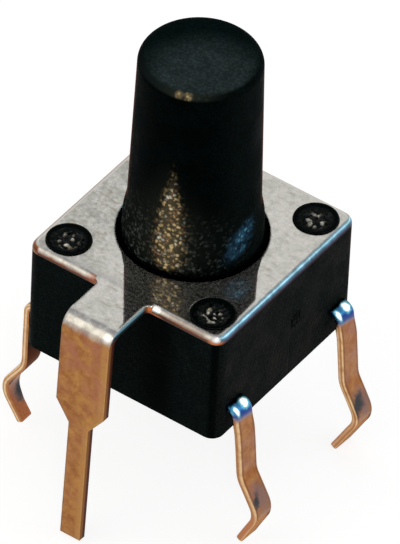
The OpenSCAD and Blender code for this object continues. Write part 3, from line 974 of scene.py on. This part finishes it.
def stripSection():
    s = strip
    w, t, c = s["width"] / 2, s["thick"] / 2, s["corner"]
    quarter = []
    for step in range(s["cornerSteps"] + 1):
        turn = pi / 2 * step / s["cornerSteps"]
        lift = t - c + c * sin(turn)
        quarter.append((w - c + c * cos(turn), lift, lift / t))
    quarter += [(w * part, t, 1) for part in (0.8, 0.7, 0.4)]
    ring = quarter + [(-x, y, k) for x, y, k in quarter[::-1]]
    return ring + [(-x, -y, -k) for x, y, k in ring]


def sweepStrip(shape, low, high, y, lean):
    s = strip
    run, across, skin = floatLayers(shape, "run", "across", "skin")
    right = legHalf(high.x / mm, "rear" if y > 0 else "front")
    left = [(Vector((-p.x, p.y)), *rest) for p, *rest in legHalf(-low.x / mm, "left")]
    path = left[:0:-1] + right
    section = stripSection()
    rings = []
    for n, (point, length, shrink) in enumerate(path):
        before, after = path[max(0, n - 1)][0], path[min(len(path) - 1, n + 1)][0]
        ahead = (after - before).normalized()
        outward = Vector((-ahead.y, 0, ahead.x))
        middle = Vector((point.x, y, point.y))
        middle += outward * s["wobble"] * noiseOf(*middle * 1.5)
        # a right leg stands a little off and turned from the drawing, below its bend
        share = smoothShare(length, *s["settle"]) if point.x > 0 else 0
        middle.x += lean * share
        turn = Matrix.Rotation(radians(s["twist"]) * share, 3, Vector((ahead.x, 0, ahead.y)))
        # the front left leg is trimmed narrower towards its tip
        trimmed = point.x < 0 and y < 0
        trim = 1 - s["narrowed"] * shareOf(length, *s["narrowFrom"]) if trimmed else 1
        ring = []
        for aside, lift, side in section:
            aside *= 1 - shrink / (s["width"] / 2)
            if aside > 0:
                aside *= trim
            lift *= 1 - shrink / (s["thick"] / 2)
            place = middle + turn @ (outward * lift + Vector((0, aside, 0)))
            vert = shape.verts.new(place * mm)
            vert[run], vert[across], vert[skin] = length, aside / (s["width"] / 2), side
            ring.append(vert)
        rings.append(ring)
    joinRings(shape, rings)
    shape.faces.new(rings[0][::-1])
    shape.faces.new(rings[-1])
    return run, skin


def addSlab(shape, layers, outline, low, high):
    run, skin = layers
    rings = []
    for height, share in ((low, -1), (high, 1)):
        ring = [shape.verts.new((x * mm, y * mm, height * mm)) for x, y in outline]
        for vert in ring:
            vert[run], vert[skin] = -1, share
        rings.append(ring)
    joinRings(shape, rings)
    shape.faces.new(rings[0])
    shape.faces.new(rings[1][::-1])


def disc(x, radius, start=0, stop=2 * pi, steps=40):
    turns = [start + (stop - start) * n / steps for n in range(steps)]
    return [(x + radius * cos(t), radius * sin(t)) for t in turns]


def buildStrip(node, padsAt, padRadius, lean):
    def build(shape):
        s = strip
        low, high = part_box(node)
        rear = high.y > -low.y
        y = high.y / mm - s["width"] / 2 if rear else low.y / mm + s["width"] / 2
        layers = sweepStrip(shape, low, high, y, lean)
        half, under = s["width"] / 2, s["barZ"] - s["thick"] / 2 + s["sunk"]
        over = under + s["thick"] - 2 * s["sunk"]
        for x in padsAt:
            turn = pi if rear else 0
            tongue = disc(x, half, turn, turn + pi, 24)
            tongue += [(x + (half if rear else -half), y), (x - (half if rear else -half), y)]
            addSlab(shape, layers, tongue, under, over)
            addSlab(shape, layers, disc(x, padRadius), under + s["sunk"], s["padTop"])
    return build


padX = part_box("snap_dome")[1].x / mm - strip["padInset"]
legPairs = {
    "front_leg_pair": ("terminal_strip_front", (0,), strip["centrePad"], strip["leanFront"]),
    "rear_leg_pair": ("terminal_strip_rear", (padX, -padX), strip["outerPad"], strip["leanRear"]),
}
for name, (node, *details) in legPairs.items():
    addPiece(name, buildStrip(node, *details), terminalLook, "base", node,
             strip["crispAngle"])
print("terminal strips made")

# Torn gate stub over its square recess on the right side, in mm
gateStub = {"y": 0.4, "z": 1.76, "width": 0.3, "height": 0.72, "stand": 0.06, "sunk": 0.05,
            "slant": 0.35, "ragged": 0.25, "edgeShare": 1 / 3, "lumps": 0.9, "depth": 0.06,
            "across": 18, "along": 36}


def buildGateStub(shape):
    g = gateStub
    glaze, glintPeak = floatLayers(shape, "glaze", "glintPeak")
    grid = []
    for j in range(g["along"] + 1):
        row = []
        for i in range(g["across"] + 1):
            u, v = i / g["across"] * 2 - 1, j / g["along"] * 2 - 1
            torn = g["ragged"] * noiseOf(u * 2.2, v * 2.6, 8.1)
            edge = shareOf(1 - hypot(u, v) - torn, 0, g["edgeShare"])
            lump = 0.35 + g["lumps"] * noiseOf(u * 2.1, v * 4.3, 4.2)
            x = wallAt - g["sunk"] + edge * (g["sunk"] + g["stand"] * max(-0.6, lump))
            y = g["y"] + (u + g["slant"] * v) * g["width"] / 2
            vert = shape.verts.new((x * mm, y * mm, (g["z"] + v * g["height"] / 2) * mm))
            vert[glaze] = 0.2
            # a few faint painted glints on the lumps
            vert[glintPeak] = min(0.1, max(0, 0.3 * (lump - 0.6)))
            row.append(vert)
        grid.append(row)
    for lower, upper in zip(grid, grid[1:]):
        for i in range(g["across"]):
            shape.faces.new((lower[i], lower[i + 1], upper[i + 1], upper[i]))
    rim = grid[0] + [row[-1] for row in grid[1:]] + grid[-1][-2::-1]
    rim += [row[0] for row in grid[-2:0:-1]]
    back = [shape.verts.new(vert.co - Vector((g["depth"] * mm, 0, 0))) for vert in rim]
    joinRings(shape, [rim, back])
    shape.faces.new(back[::-1])


addPiece("gate_stub", buildGateStub, rivetLook, "base")
print("gate stub made")

# Pale floor and soft lights
studio = {
    "skyLight": 0.58, "floorGlow": 0.79, "floorShade": (0.36, 0.36, 0.36),
    "floorBounce": (0.78, 0.78, 0.77), "floorHalf": 2.5, "target": (0, 0, 3),
    "lampDistance": 0.15,
    "lamps": {
        "key": {"towards": (-0.41, -0.68, 0.61), "size": (0.1, 0.1), "glow": 0.75,
                "colour": (1, 0.88, 0.7)},
        "fill": {"towards": (0.78, 0.33, 0.53), "size": (0.1, 0.08), "glow": 0.7,
                 "colour": (0.66, 0.84, 1)},
        "glint": {"towards": (0.46, -0.56, 0.69), "size": (0.014, 0.014), "glow": 22,
                  "colour": (1, 0.95, 0.86)},
    },
}


def seenByEye():
    rays = putNode("LightPath")
    seen = calc("MAXIMUM", rays["Is Camera Ray"], rays["Is Glossy Ray"])
    return calc("MAXIMUM", seen, rays["Is Transmission Ray"])


def buildFloor():
    s = studio
    low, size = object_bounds()[0].z, s["floorHalf"]
    mesh = bpy.data.meshes.new("floor")
    spots = [(-size, -size, low), (size, -size, low), (size, size, low), (-size, size, low)]
    mesh.from_pydata(spots, [], [(0, 1, 2, 3)])
    material = newMaterial("paleFloor")[0]
    material.node_tree.nodes.clear()
    shade = putNode("BsdfDiffuse", {"Color": s["floorShade"]})[0]
    glow = putNode("Emission", {"Strength": s["floorGlow"]})[0]
    shown = putNode("AddShader", {0: shade, 1: glow})[0]
    bounce = putNode("BsdfDiffuse", {"Color": s["floorBounce"]})[0]
    top = putNode("MixShader", {0: seenByEye(), 1: bounce, 2: shown})[0]
    clear = putNode("BsdfTransparent")[0]
    below = putNode("NewGeometry")["Backfacing"]
    surface = putNode("MixShader", {0: below, 1: top, 2: clear})[0]
    putNode("OutputMaterial", {"Surface": surface})
    mesh.materials.append(material)
    floor = putInScene("floor", mesh)


def buildWorld():
    world = bpy.data.worlds.new("studio")
    bpy.context.scene.world = world
    world.use_nodes = True
    bench["tree"] = world.node_tree
    sky = world.node_tree.nodes["Background"].inputs
    strength = timesPlus(seenByEye(), 1 - studio["skyLight"], studio["skyLight"])
    feed(strength, sky["Strength"])
    feed((1, 1, 1), sky["Color"])


def addLamp(name, towards, size, glow, colour):
    lamp = bpy.data.lights.new(name, "AREA")
    lamp.shape = "RECTANGLE"
    lamp.size, lamp.size_y = size
    lamp.energy = glow * pi * size[0] * size[1]
    lamp.color = colour
    holder = putInScene(name, lamp)
    way = Vector(towards).normalized()
    holder.location = Vector(studio["target"]) * mm + way * studio["lampDistance"]
    holder.rotation_euler = way.to_track_quat("Z", "Y").to_euler()


buildFloor()
buildWorld()
for name, lamp in studio["lamps"].items():
    addLamp(name + "Lamp", **lamp)
print("floor, sky and lamps set")

# Camera: long lens, looking down on the front right corner, in degrees and mm
view = {
    "azimuth": 33.7955, "elevation": 42.7313, "roll": 2.8391, "distance": 279.7081,
    "aim": (0, 0, 3), "slide": (0.2042, -0.7339), "lens": 718.4228, "sensor": 36,
}


def buildCamera():
    v = view
    azimuth, elevation, roll = (radians(v[k]) for k in ("azimuth", "elevation", "roll"))
    back = Vector((sin(azimuth) * cos(elevation), -cos(azimuth) * cos(elevation), sin(elevation)))
    right = Vector((cos(azimuth), sin(azimuth), 0))
    up = back.cross(right)
    across = right * cos(roll) + up * sin(roll)
    upward = up * cos(roll) - right * sin(roll)
    aim = Vector(v["aim"]) + across * v["slide"][0] + upward * v["slide"][1]
    place = (aim + back * v["distance"]) * mm
    data = bpy.data.cameras.new("camera")
    data.lens = v["lens"]
    data.sensor_width = v["sensor"]
    data.clip_start, data.clip_end = 0.01, 20
    camera = putInScene("camera", data)
    facing = Matrix((across, upward, back)).transposed().to_quaternion()
    camera.matrix_world = Matrix.LocRotScale(place, facing, None)
    bpy.context.scene.camera = camera


buildCamera()
bpy.context.scene.view_settings.view_transform = "Standard"
print("camera set")
